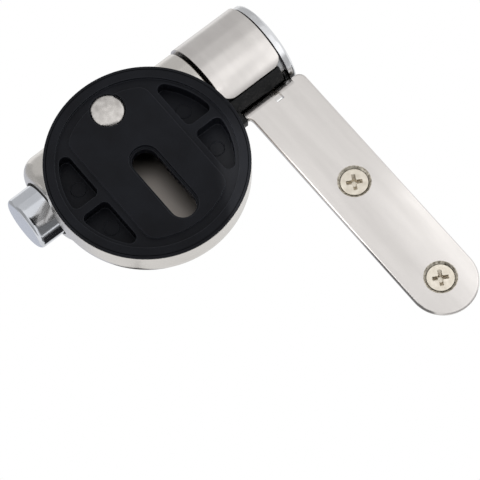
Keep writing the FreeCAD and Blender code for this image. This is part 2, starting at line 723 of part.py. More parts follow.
def seat_strap():
    """Sheet strap: a curl round the damper, a bend, and a flat tongue with two countersunk holes."""
    sheet = fuse("strap_sheet", strap_curl(), strap_bend(), strap_tongue())
    web_y = f"({AXIS_Y} + curl_radius - sheet)"
    notch_low = (f"{STRAP_MID_X} - notch_width / 2", f"{web_y} - past", f"{STRAP_Z} - past")
    notch_size = ("notch_width", f"{BEND_Y} - {web_y} + notch_reach + past", f"{BEND_Z} - {STRAP_Z} + past")
    tools = [box("notch", notch_low, notch_size)]
    hole_length = "sheet + 2 * past"
    for i, y in enumerate(SCREW_STATIONS):
        tools.append(cone(f"countersink_{i}", "countersink_radius", "countersink_radius - sheet", "sheet",
                          STRAP_MID_X, y, STRAP_Z))
        tools.append(post(f"screw_hole_{i}", "screw_radius + running_gap", hole_length, STRAP_MID_X, y,
                          f"{STRAP_Z} - past"))
    return cut("seat_strap", sheet, *tools)


def cross_recess(i, y):
    """Make the tool for one screw's recess: a turned cross whose wings slope in, and a pointed hub."""
    low = f"({STRAP_Z} + screw_sink)"
    turn = FreeCAD.Rotation(FreeCAD.Vector(0, 0, 1), value("recess_turn"))
    wings = []
    for name, quarter in (("across", 0), ("along", 90)):
        wing = doc.addObject("Part::Box", f"recess_{name}_{i}")
        bind(wing, Length="2 * recess_span", Width="recess_width", Height="recess_depth + past")
        spin = turn.multiply(FreeCAD.Rotation(FreeCAD.Vector(0, 0, 1), quarter))
        corner = f"(recess_turn + {quarter}) * 1 deg"
        low_x = f"{STRAP_MID_X} - recess_span * cos({corner}) + recess_width / 2 * sin({corner})"
        low_y = f"{y} - recess_span * sin({corner}) - recess_width / 2 * cos({corner})"
        wings.append(place(wing, low_x, low_y, f"{low} - past", spin))
    slope = "(recess_span - recess_floor) / (2 * recess_depth)"
    bound = cone(f"recess_bound_{i}", f"recess_span / 2 + past * {slope}", "recess_floor / 2",
                 "recess_depth + past", STRAP_MID_X, y, f"{low} - past")
    hub = cone(f"recess_hub_{i}", "recess_hub / 2", "recess_width / 4", "recess_depth", STRAP_MID_X, y, low)
    cross = common(f"recess_cross_{i}", fuse(f"recess_wings_{i}", *wings), bound)
    return fuse(f"recess_{i}", cross, hub)


def strap_screws():
    """Two countersunk screws with a crossed recess and a pointed shank."""
    screws = []
    low = f"({STRAP_Z} + screw_sink)"
    for i, y in enumerate(SCREW_STATIONS):
        blank = turned(f"screw_turned_{i}", [
            (0, 0),
            ("screw_head_radius", 0),
            ("screw_radius", "screw_head_radius - screw_radius"),
            ("screw_radius", "screw_length - screw_tip"),
            ("screw_point", "screw_length"),
            (0, "screw_length"),
        ])
        place(blank, STRAP_MID_X, y, low)
        screws.append(cut(f"screw_{i}", blank, cross_recess(i, y)))
    pair = doc.addObject("Part::Compound", "strap_screws")
    pair.Links = screws
    return pair


SUBPARTS = (
    base_pad,
    hinge_housing,
    latch_stud,
    stud_washer,
    release_button,
    release_plunger,
    button_spring,
    barrel_plug,
    thrust_washer,
    damper_rotor,
    damper_seal,
    damper_body,
    damper_cover,
    end_cap,
    seat_strap,
    strap_screws,
)

pieces = []
for make in SUBPARTS:
    piece = make()
    piece.Label = make.__name__
    pieces.append(piece)
doc.recompute()

for item in doc.Objects:
    if "Invalid" in item.State or "Error" in item.State:
        raise RuntimeError(f"{item.Label} failed to recompute: {item.State}")
for piece in pieces:
    if piece.Shape.isNull() or not piece.Shape.isValid():
        raise RuntimeError(f"{piece.Label} has no valid shape")

os.makedirs("parts", exist_ok=True)
for piece in pieces:
    piece.Shape.exportStep(f"parts/{piece.Label}.step")
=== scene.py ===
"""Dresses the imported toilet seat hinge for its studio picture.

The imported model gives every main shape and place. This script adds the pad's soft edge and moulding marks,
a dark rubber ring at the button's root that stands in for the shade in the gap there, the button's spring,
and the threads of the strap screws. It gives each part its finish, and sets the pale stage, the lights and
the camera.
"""

import logging
import math
from collections.abc import Iterable
from dataclasses import dataclass, replace
from enum import Enum
from typing import Any

import bpy
from mathutils import Matrix, Vector


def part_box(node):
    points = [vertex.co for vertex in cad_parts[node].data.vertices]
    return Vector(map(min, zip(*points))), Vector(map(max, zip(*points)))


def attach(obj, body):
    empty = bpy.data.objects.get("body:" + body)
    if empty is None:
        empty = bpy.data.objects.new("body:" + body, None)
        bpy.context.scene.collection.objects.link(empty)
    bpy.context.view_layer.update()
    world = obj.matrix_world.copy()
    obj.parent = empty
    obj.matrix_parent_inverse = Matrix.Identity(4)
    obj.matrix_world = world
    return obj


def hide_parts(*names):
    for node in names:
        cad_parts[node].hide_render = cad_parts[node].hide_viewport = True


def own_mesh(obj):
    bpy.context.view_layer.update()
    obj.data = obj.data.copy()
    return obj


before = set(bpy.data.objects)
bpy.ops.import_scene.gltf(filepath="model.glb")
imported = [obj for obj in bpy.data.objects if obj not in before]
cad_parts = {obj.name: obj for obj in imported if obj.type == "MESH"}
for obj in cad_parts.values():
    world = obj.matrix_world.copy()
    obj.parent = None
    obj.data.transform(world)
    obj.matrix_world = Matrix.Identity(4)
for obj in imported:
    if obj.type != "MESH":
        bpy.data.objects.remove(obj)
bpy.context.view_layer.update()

LOG = logging.getLogger("seat_hinge")
MM = 0.001

Colour = tuple[float, float, float, float]
Triple = tuple[float, float, float]
Place = Triple
Socket = bpy.types.NodeSocket

WHITE: Colour = (1.0, 1.0, 1.0, 1.0)
ORIGIN: Place = (0.0, 0.0, 0.0)
TURN_TO_X: Triple = (0.0, math.pi / 2, 0.0)

# The curve from display levels to linear ones: a straight toe, then a power
FULL_LEVEL = 255
TOE_END = 0.04045
TOE_SLOPE = 12.92
CURVE_OFFSET = 0.055
CURVE_POWER = 2.4


def linear_level(level: int) -> float:
    """Turn a display level into a linear one.

    Args:
        level: The display level, from 0 to 255.

    Returns:
        The linear level, from 0 to 1.
    """
    share = level / FULL_LEVEL
    if share <= TOE_END:
        return share / TOE_SLOPE
    return ((share + CURVE_OFFSET) / (1 + CURVE_OFFSET)) ** CURVE_POWER


def display_colour(red: int, green: int, blue: int) -> Colour:
    """Turn a display colour into the linear colour that a shader takes.

    Args:
        red: Red, from 0 to 255.
        green: Green, from 0 to 255.
        blue: Blue, from 0 to 255.

    Returns:
        The linear colour with full alpha.
    """
    return linear_level(red), linear_level(green), linear_level(blue), 1.0


def even(level: float) -> Triple:
    """Return a level for all three axes or channels."""
    return level, level, level


def middle(node: str) -> Place:
    """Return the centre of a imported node's box."""
    low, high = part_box(node)
    return (low.x + high.x) / 2, (low.y + high.y) / 2, (low.z + high.z) / 2


def add_object(name: str, data: bpy.types.ID) -> bpy.types.Object:
    """Add an object to the scene.

    Args:
        name: The object's name.
        data: Its mesh, light or camera.

    Returns:
        The object.
    """
    made = bpy.data.objects.new(name, data)
    bpy.context.scene.collection.objects.link(made)
    return made


class Body(Enum):
    """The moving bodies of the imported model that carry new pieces."""

    BASE = "base"
    STRAP = "strap"


class Slot(Enum):
    """The record's material slots, named as the finishes that the new pieces wear."""

    MOULDING = "black_moulding"
    SCREW = "plated_screw"
    SEAL = "seal_rubber"
    SPRING = "spring_wire"


class Blend(Enum):
    """What a node blends: its type and settings, and the places of mask, first, second and result."""

    COLOUR = ("ShaderNodeMix", {"data_type": "RGBA"}, (0, 6, 7), 2)
    VALUE = ("ShaderNodeMix", {"data_type": "FLOAT"}, (0, 2, 3), 0)
    SHADER = ("ShaderNodeMixShader", {}, (0, 1, 2), 0)


class NodeBoard:
    """Adds, fills and links the nodes of one tree."""

    def __init__(self, tree: bpy.types.NodeTree) -> None:
        """Keep the tree and clear what it holds."""
        self.tree = tree
        tree.nodes.clear()

    def add(self, kind: str, values: dict[str, Any] | None = None, **settings: Any) -> bpy.types.Node:
        """Add a node.

        Args:
            kind: The node's type name.
            values: Plain values and outputs, by the name of the input that takes each.
            settings: The node's own properties.

        Returns:
            The new node.
        """
        node = self.tree.nodes.new(kind)
        for name, setting in settings.items():
            setattr(node, name, setting)
        if values is not None:
            self.feed(values.values(), [node.inputs[name] for name in values])
        return node

    def feed(self, values: Iterable[Any], sockets: Iterable[Socket]) -> None:
        """Fill inputs in turn, with a link for an output and a setting for a plain value.

        Args:
            values: Outputs and plain values.
            sockets: The inputs.
        """
        for value, socket in zip(values, sockets):
            if isinstance(value, Socket):
                self.tree.links.new(value, socket)
            else:
                socket.default_value = value

    def math(self, operation: str, *terms: Any) -> Socket:
        """Add a step of arithmetic whose result is kept between 0 and 1.

        Args:
            operation: The operation's name.
            terms: Numbers or outputs.

        Returns:
            The result's output.
        """
        node = self.add("ShaderNodeMath", operation=operation, use_clamp=True)
        self.feed(terms, node.inputs)
        return node.outputs["Value"]

    def vector(self, operation: str, *terms: Any) -> bpy.types.NodeOutputs:
        """Add a step of vector arithmetic.

        Args:
            operation: The operation's name.
            terms: Vectors or outputs.

        Returns:
            The step's outputs, Vector and Value.
        """
        node = self.add("ShaderNodeVectorMath", operation=operation)
        self.feed(terms, node.inputs)
        return node.outputs

    def blend(self, kind: Blend, mask: Socket, first: Any, second: Any) -> Socket:
        """Blend two colours, values or shaders by a mask.

        Args:
            kind: What is blended.
            mask: The share of the second one.
            first: A plain one or an output.
            second: A plain one or an output.

        Returns:
            The blend's output.
        """
        node_kind, settings, places, result = kind.value
        node = self.add(node_kind, **settings)
        self.feed((mask, first, second), [node.inputs[place] for place in places])
        return node.outputs[result]

    def spread(self, value: Socket, span: tuple[float, float], low: Any = 0.0, high: Any = 1.0,
               **settings: Any) -> Socket:
        """Stretch a span of a value over another span.

        Args:
            value: The value's output.
            span: The ends of the value's span.
            low: What the span's first end becomes.
            high: What the span's second end becomes.
            settings: The node's own properties.

        Returns:
            The stretched value's output.
        """
        start, end = span
        node = self.add("ShaderNodeMapRange", {"Value": value, "From Min": start, "From Max": end,
                                               "To Min": low, "To Max": high}, **settings)
        return node.outputs["Result"]


def blank_material(name: str) -> tuple[bpy.types.Material, NodeBoard]:
    """Make a material that has no nodes yet.

    Args:
        name: The material's name.

    Returns:
        The material and its board.
    """
    made = bpy.data.materials.new(name)
    made.use_nodes = True
    return made, NodeBoard(made.node_tree)


class Effect:
    """A shared shader effect, kept as a node group with named sockets."""

    def __init__(self, name: str, inputs: dict[str, str], outputs: dict[str, str]) -> None:
        """Make the empty group.

        Args:
            name: The group's name.
            inputs: Socket types by input name.
            outputs: Socket types by output name.
        """
        self.tree = bpy.data.node_groups.new(name, "ShaderNodeTree")
        for way, sockets in (("INPUT", inputs), ("OUTPUT", outputs)):
            for label, kind in sockets.items():
                self.tree.interface.new_socket(name=label, in_out=way, socket_type=f"NodeSocket{kind}")
        self.board = NodeBoard(self.tree)
        self.inlet = self.board.add("NodeGroupInput").outputs

    def reach(self, span: Any) -> Socket:
        """Work out how far Position is from Centre.

        Args:
            span: The share of each axis in the distance.

        Returns:
            The distance's output.
        """
        offset = self.board.vector("SUBTRACT", self.inlet["Position"], self.inlet["Centre"])["Vector"]
        across = self.board.vector("MULTIPLY", offset, span)["Vector"]
        return self.board.vector("LENGTH", across)["Value"]

    def give(self, **results: Socket) -> None:
        """Link the results to the group's outputs of the same names."""
        self.board.add("NodeGroupOutput", results)


class PolishMarks(Effect):
    """Fine lines left by polishing, drawn out along the least stretched axis."""

    DETAIL = 3.0
    HARSHNESS = 0.6

    def __init__(self) -> None:
        """Build the group."""
        super().__init__("polish_marks", {"Position": "Vector", "Stretch": "Vector"}, {"Height": "Float"})
        scaled = self.board.vector("MULTIPLY", self.inlet["Position"], self.inlet["Stretch"])["Vector"]
        noise = self.board.add("ShaderNodeTexNoise", {"Vector": scaled, "Scale": 1.0, "Detail": self.DETAIL,
                                                      "Roughness": self.HARSHNESS})
        self.give(Height=noise.outputs["Fac"])


class SpinMarks(Effect):
    """Rings left by spinning or turning a part about an axis."""

    DETAIL = 2.0

    def __init__(self) -> None:
        """Build the group."""
        super().__init__("spin_marks",
                         {"Position": "Vector", "Centre": "Vector", "Span": "Vector", "Scale": "Float"},
                         {"Height": "Float"})
        noise = self.board.add("ShaderNodeTexNoise", noise_dimensions="1D", values={
            "W": self.reach(self.inlet["Span"]), "Scale": self.inlet["Scale"], "Detail": self.DETAIL})
        self.give(Height=noise.outputs["Fac"])


class HandlingHaze(Effect):
    """Patches where handling has dulled the shine."""

    DETAIL = 4.0
    HARSHNESS = 0.55
    SPAN = (0.3, 0.7)

    def __init__(self) -> None:
        """Build the group."""
        super().__init__("handling_haze",
                         {"Position": "Vector", "Scale": "Float", "Low": "Float", "High": "Float"},
                         {"Roughness": "Float"})
        noise = self.board.add("ShaderNodeTexNoise", {
            "Vector": self.inlet["Position"], "Scale": self.inlet["Scale"], "Detail": self.DETAIL,
            "Roughness": self.HARSHNESS})
        dulled = self.board.spread(noise.outputs["Fac"], self.SPAN, self.inlet["Low"], self.inlet["High"])
        self.give(Roughness=dulled)


class ColourDrift(Effect):
    """A slow change between two near colours, drawn out along the least stretched axis."""

    DETAIL = 3.0
    SPAN = (0.3, 0.7)

    def __init__(self) -> None:
        """Build the group."""
        super().__init__("colour_drift",
                         {"Position": "Vector", "Stretch": "Vector", "First": "Color", "Second": "Color"},
                         {"Colour": "Color"})
        scaled = self.board.vector("MULTIPLY", self.inlet["Position"], self.inlet["Stretch"])["Vector"]
        noise = self.board.add("ShaderNodeTexNoise", {"Vector": scaled, "Scale": 1.0, "Detail": self.DETAIL})
        share = self.board.spread(noise.outputs["Fac"], self.SPAN)
        self.give(Colour=self.board.blend(Blend.COLOUR, share, self.inlet["First"], self.inlet["Second"]))


class PittedGrain(Effect):
    """Small round dips: the grain of a moulding or the marks of a riveting hammer."""

    DETAIL = 2.0

    def __init__(self) -> None:
        """Build the group."""
        super().__init__("pitted_grain", {"Position": "Vector", "Scale": "Float"}, {"Height": "Float"})
        values = {"Vector": self.inlet["Position"], "Scale": self.inlet["Scale"]}
        dips = self.board.add("ShaderNodeTexVoronoi", values, feature="SMOOTH_F1")
        noise = self.board.add("ShaderNodeTexNoise", {**values, "Detail": self.DETAIL})
        self.give(Height=self.board.math("MULTIPLY", dips.outputs["Distance"], noise.outputs["Fac"]))


class SoftEdges(Effect):
    """Rounds the shading of sharp edges, and marks where they are."""

    GAIN = 5.0
    SAMPLES = 6

    def __init__(self) -> None:
        """Build the group."""
        super().__init__("soft_edges", {"Radius": "Float"}, {"Normal": "Vector", "Edge": "Float"})
        bevel = self.board.add("ShaderNodeBevel", {"Radius": self.inlet["Radius"]}, samples=self.SAMPLES)
        flat = self.board.add("ShaderNodeNewGeometry").outputs["Normal"]
        likeness = self.board.vector("DOT_PRODUCT", bevel.outputs["Normal"], flat)["Value"]
        turned = self.board.math("SUBTRACT", 1.0, likeness)
        self.give(Normal=bevel.outputs["Normal"], Edge=self.board.math("MULTIPLY", turned, self.GAIN))


class CreviceShade(Effect):
    """Marks narrow places, where less light reaches, for a painted shade."""

    GAIN = 3.0
    ALLOWANCE = 0.35
    SAMPLES = 8

    def __init__(self) -> None:
        """Build the group."""
        super().__init__("painted_crevice_shade", {"Reach": "Float"}, {"Mask": "Float"})
        opening = self.board.add("ShaderNodeAmbientOcclusion", {"Distance": self.inlet["Reach"]},
                                 samples=self.SAMPLES)
        closed = self.board.math("SUBTRACT", 1.0, opening.outputs["AO"])
        beyond = self.board.math("SUBTRACT", closed, self.ALLOWANCE)
        self.give(Mask=self.board.math("MULTIPLY", beyond, self.GAIN))


class RoundZone(Effect):
    """Marks what lies within a radius of an upright axis and between two heights."""

    FLAT = (1.0, 1.0, 0.0)

    def __init__(self) -> None:
        """Build the group."""
        super().__init__("round_zone",
                         {"Position": "Vector", "Centre": "Vector", "Radius": "Float", "Low": "Float",
                          "High": "Float"},
                         {"Mask": "Float"})
        height = self.board.add("ShaderNodeSeparateXYZ", {"Vector": self.inlet["Position"]}).outputs["Z"]
        near = self.board.math("LESS_THAN", self.reach(self.FLAT), self.inlet["Radius"])
        above = self.board.math("GREATER_THAN", height, self.inlet["Low"])
        below = self.board.math("LESS_THAN", height, self.inlet["High"])
        between = self.board.math("MULTIPLY", above, below)
        self.give(Mask=self.board.math("MULTIPLY", near, between))


class Effects:
    """The shared effects, each built once."""

    def __init__(self) -> None:
        """Build every group."""
        self.marks = PolishMarks()
        self.spin = SpinMarks()
        self.haze = HandlingHaze()
        self.drift = ColourDrift()
        self.grain = PittedGrain()
        self.edges = SoftEdges()
        self.crevice_shade = CreviceShade()
        self.zone = RoundZone()


@dataclass(frozen=True)
class Surface:
    """A material in the making: its board, the shared effects and the surface point."""

    board: NodeBoard
    effects: Effects
    position: Socket

    def put(self, effect: Effect, **values: Any) -> bpy.types.NodeOutputs:
        """Place an effect, fed with the surface point where it takes one.

        Args:
            effect: The shared effect.
            values: The effect's other inputs by name.

        Returns:
            The effect's outputs.
        """
        if "Position" in effect.inlet:
            values["Position"] = self.position
        return self.board.add("ShaderNodeGroup", values, node_tree=effect.tree).outputs


@dataclass(frozen=True)
class Finish:
    """A surface finish: its colours, shine and fine relief.

    Lengths are in metres, and scales and stretches are per metre.
    """

    name: str
    first: Colour
    second: Colour
    shine: tuple[float, float]
    metallic: float = 1.0
    specular: float = 0.5
    drift: Triple = even(60.0)
    haze_scale: float = 140.0
    edge_radius: float = 0.25 * MM
    edge_colour: Colour | None = None
    # The colour and reach of a painted shade in narrow places
    crevice_shade_colour: Colour | None = None
    crevice_shade_reach: float = 1.2 * MM
    stretch: Triple | None = None
    mark_depth: float = 0.0
    spin_centre: Place | None = None
    spin_span: Triple = (1.0, 1.0, 0.0)
    spin_scale: float = 2500.0
    spin_depth: float = 0.0
    grain_scale: float | None = None
    grain_depth: float = 0.0

    def material(self, effects: Effects) -> bpy.types.Material:
        """Build the finish as a material.

        Args:
            effects: The shared effects.

        Returns:
            The material.
        """
        made, board = blank_material(self.name)
        surface = Surface(board, effects, board.add("ShaderNodeTexCoord").outputs["Object"])
        edges = surface.put(effects.edges, Radius=self.edge_radius)
        shader = board.add("ShaderNodeBsdfPrincipled", {
            "Metallic": self.metallic,
            "Specular IOR Level": self.specular,
            "Base Color": self.colour(surface, edges["Edge"]),
            "Roughness": self.roughness(surface),
            "Normal": self.normal(surface, edges["Normal"]),
        })
        board.add("ShaderNodeOutputMaterial", {"Surface": shader.outputs["BSDF"]})
        return made

    def colour(self, surface: Surface, edge: Socket) -> Socket:
        """Work out the base colour, with an edge colour and a painted shade in narrow places where the finish
        has them.

        Args:
            surface: The material in the making.
            edge: The mask of the edges.

        Returns:
            The colour's output.
        """
        board, effects = surface.board, surface.effects
        drift = surface.put(effects.drift, Stretch=self.drift, First=self.first, Second=self.second)
        colour = drift["Colour"]
        if self.edge_colour is not None:
            colour = board.blend(Blend.COLOUR, edge, colour, self.edge_colour)
        if self.crevice_shade_colour is not None:
            # Painted shade: darker where narrow places let less light in
            crevice_shade = surface.put(effects.crevice_shade, Reach=self.crevice_shade_reach)["Mask"]
            colour = board.blend(Blend.COLOUR, crevice_shade, colour, self.crevice_shade_colour)
        return colour

    def roughness(self, surface: Surface) -> Socket:
        """Work out the roughness.

        Args:
            surface: The material in the making.

        Returns:
            The roughness's output.
        """
        low, high = self.shine
        haze = surface.put(surface.effects.haze, Scale=self.haze_scale, Low=low, High=high)
        return haze["Roughness"]

    def normal(self, surface: Surface, base: Socket) -> Socket:
        """Work out the normal from the softened edges and the fine relief.

        Args:
            surface: The material in the making.
            base: The softened normal.

        Returns:
            The normal's output.
        """
        effects = surface.effects
        reliefs = []
        if self.stretch is not None:
            reliefs.append((surface.put(effects.marks, Stretch=self.stretch), self.mark_depth))
        if self.spin_centre is not None:
            rings = surface.put(effects.spin, Centre=self.spin_centre, Span=self.spin_span,
                                Scale=self.spin_scale)
            reliefs.append((rings, self.spin_depth))
        if self.grain_scale is not None:
            reliefs.append((surface.put(effects.grain, Scale=self.grain_scale), self.grain_depth))
        normal = base
        for relief, depth in reliefs:
            bump = surface.board.add("ShaderNodeBump", {"Height": relief["Height"], "Normal": normal,
                                                        "Distance": depth, "Strength": 1.0})
            normal = bump.outputs["Normal"]
        return normal


@dataclass(frozen=True)
class Zone:
    """A round part of a surface, about an upright axis and between two heights."""

    centre: Place
    radius: float
    low: float
    high: float

    def mask(self, surface: Surface) -> Socket:
        """Place the zone in a material, and return its mask's output."""
        zone = surface.put(surface.effects.zone, Centre=self.centre, Radius=self.radius, Low=self.low,
                           High=self.high)
        return zone["Mask"]


@dataclass(frozen=True)
class ZonedFinish(Finish):
    """A polished finish with zones that are duller and darker: a painted shade laid over the polished colour.
    """

    zone_first: Colour = WHITE
    zone_second: Colour = WHITE
    zone_drift: Triple = even(60.0)
    zone_roughness: float = 0.5
    zones: tuple[Zone, ...] = ()

    def colour(self, surface: Surface, edge: Socket) -> Socket:
        """Lay the zones' painted shade over the polished colour.

        Args:
            surface: The material in the making.
            edge: The mask of the edges.

        Returns:
            The colour's output.
        """
        colour = super().colour(surface, edge)
        zone_shade = surface.put(surface.effects.drift, Stretch=self.zone_drift, First=self.zone_first,
                            Second=self.zone_second)
        for zone in self.zones:
            colour = surface.board.blend(Blend.COLOUR, zone.mask(surface), colour, zone_shade["Colour"])
        return colour

    def roughness(self, surface: Surface) -> Socket:
        """Dull the zones of the polished shine.

        Args:
            surface: The material in the making.

        Returns:
            The roughness's output.
        """
        shine = super().roughness(surface)
        for zone in self.zones:
            shine = surface.board.blend(Blend.VALUE, zone.mask(surface), shine, self.zone_roughness)
        return shine


# The finishes of the part's metals, mouldings and rubber
HOUSING_STEEL = ZonedFinish(
    name="polished_stainless_housing",
    first=display_colour(222, 218, 213),
    second=display_colour(213, 209, 204),
    shine=(0.2, 0.27),
    drift=even(50.0),
    stretch=(3000.0, 60.0, 900.0),
    mark_depth=0.0015 * MM,
    # Painted shade inside the cup, seen through the pad's slot, laid by the zones
    zone_first=display_colour(151, 145, 140),
    zone_second=display_colour(151, 145, 140),
    zone_roughness=0.46,
)
STRAP_STEEL = replace(
    HOUSING_STEEL,
    name="polished_stainless_strap",
    first=display_colour(219, 215, 212),
    second=display_colour(210, 206, 203),
    drift=(260.0, 24.0, 120.0),
    # Painted shade in the notch at the strap's root and in the screws' countersinks
    crevice_shade_colour=display_colour(92, 84, 64),
    crevice_shade_reach=2.6 * MM,
    # Painted shade in and round each screw's countersink, laid by the zones
    zone_first=display_colour(112, 106, 93),
    zone_second=display_colour(206, 200, 188),
    zone_drift=even(1300.0),
    zone_roughness=0.4,
)
CHROME = Finish(
    name="bright_chrome",
    first=display_colour(214, 217, 222),
    second=display_colour(206, 209, 215),
    shine=(0.1, 0.16),
    edge_radius=0.3 * MM,
    spin_centre=(0.0, -15.5 * MM, 25.0 * MM),
    spin_span=(0.0, 1.0, 1.0),
    spin_scale=4000.0,
    spin_depth=0.0006 * MM,
)
CAP_CHROME = replace(
    CHROME,
    name="satin_chrome",
    first=display_colour(219, 220, 222),
    second=display_colour(213, 214, 217),
    shine=(0.18, 0.23),
    drift=even(120.0),
    # Painted shade on the cap's neck, where it sits in shadow against the strap's curl
    crevice_shade_colour=display_colour(38, 38, 40),
    crevice_shade_reach=4.0 * MM,
    spin_scale=2400.0,
    spin_depth=0.004 * MM,
)
PAD_BLACK = Finish(
    name="black_moulding",
    first=display_colour(17, 18, 23),
    second=display_colour(25, 27, 33),
    shine=(0.4, 0.55),
    metallic=0.0,
    specular=0.12,
    drift=even(90.0),
    edge_radius=0.4 * MM,
    # Lighter edges: worn moulded edges, with a painted highlight along them
    edge_colour=display_colour(52, 54, 60),
    grain_scale=2200.0,
    grain_depth=0.03 * MM,
)
DAMPER_BLACK = Finish(
    name="damper_black",
    first=display_colour(18, 19, 20),
    second=display_colour(24, 25, 27),
    shine=(0.36, 0.48),
    metallic=0.0,
    specular=0.22,
    grain_scale=3000.0,
    grain_depth=0.02 * MM,
)
RIVET = Finish(
    name="rivet_metal",
    first=display_colour(221, 217, 213),
    second=display_colour(186, 182, 178),
    shine=(0.22, 0.36),
    drift=even(560.0),
    spin_centre=(1.3 * MM, -18.8 * MM, 0.0),
    spin_scale=1000.0,
    spin_depth=0.035 * MM,
    grain_scale=520.0,
    grain_depth=0.16 * MM,
)
PLATED_SCREW = Finish(
    name="plated_screw",
    first=display_colour(226, 219, 206),
    second=display_colour(206, 198, 184),
    shine=(0.26, 0.38),
    drift=even(600.0),
    edge_colour=display_colour(150, 142, 124),
    # Painted shade in the screws' cross recesses and round their heads
    crevice_shade_colour=display_colour(74, 64, 48),
    crevice_shade_reach=1.0 * MM,
    grain_scale=1400.0,
    grain_depth=0.03 * MM,
)
SPRING_WIRE = Finish(
    name="spring_wire",
    first=display_colour(170, 172, 176),
    second=display_colour(150, 151, 155),
    shine=(0.22, 0.34),
    edge_radius=0.1 * MM,
)
SLIP_PLASTIC = Finish(
    name="slip_plastic",
    first=display_colour(224, 222, 214),
    second=display_colour(214, 211, 202),
    shine=(0.4, 0.55),
    metallic=0.0,
    grain_scale=2600.0,
    grain_depth=0.02 * MM,
)
SEAL_RUBBER = Finish(
    name="seal_rubber",
    first=display_colour(38, 36, 35),
    second=display_colour(30, 29, 28),
    shine=(0.55, 0.7),
    metallic=0.0,
    specular=0.3,
)


class Wardrobe:
    """Builds each finish once and hands out its material."""

    def __init__(self) -> None:
        """Build the shared effects and start with no material."""
        self.effects = Effects()
        self.made: dict[str, bpy.types.Material] = {}

    def material(self, finish: Finish) -> bpy.types.Material:
        """Hand out the material of a finish.

        Args:
            finish: The finish.

        Returns:
            The material, built at the first call.
        """
        if finish.name not in self.made:
            self.made[finish.name] = finish.material(self.effects)
        return self.made[finish.name]

    def dress(self, node: str, finish: Finish) -> None:
        """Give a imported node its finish.

        Args:
            node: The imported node's name.
            finish: The finish.
        """
        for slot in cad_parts[node].material_slots:
            slot.material = self.material(finish)
        LOG.info("dressed %s in %s", node, finish.name)


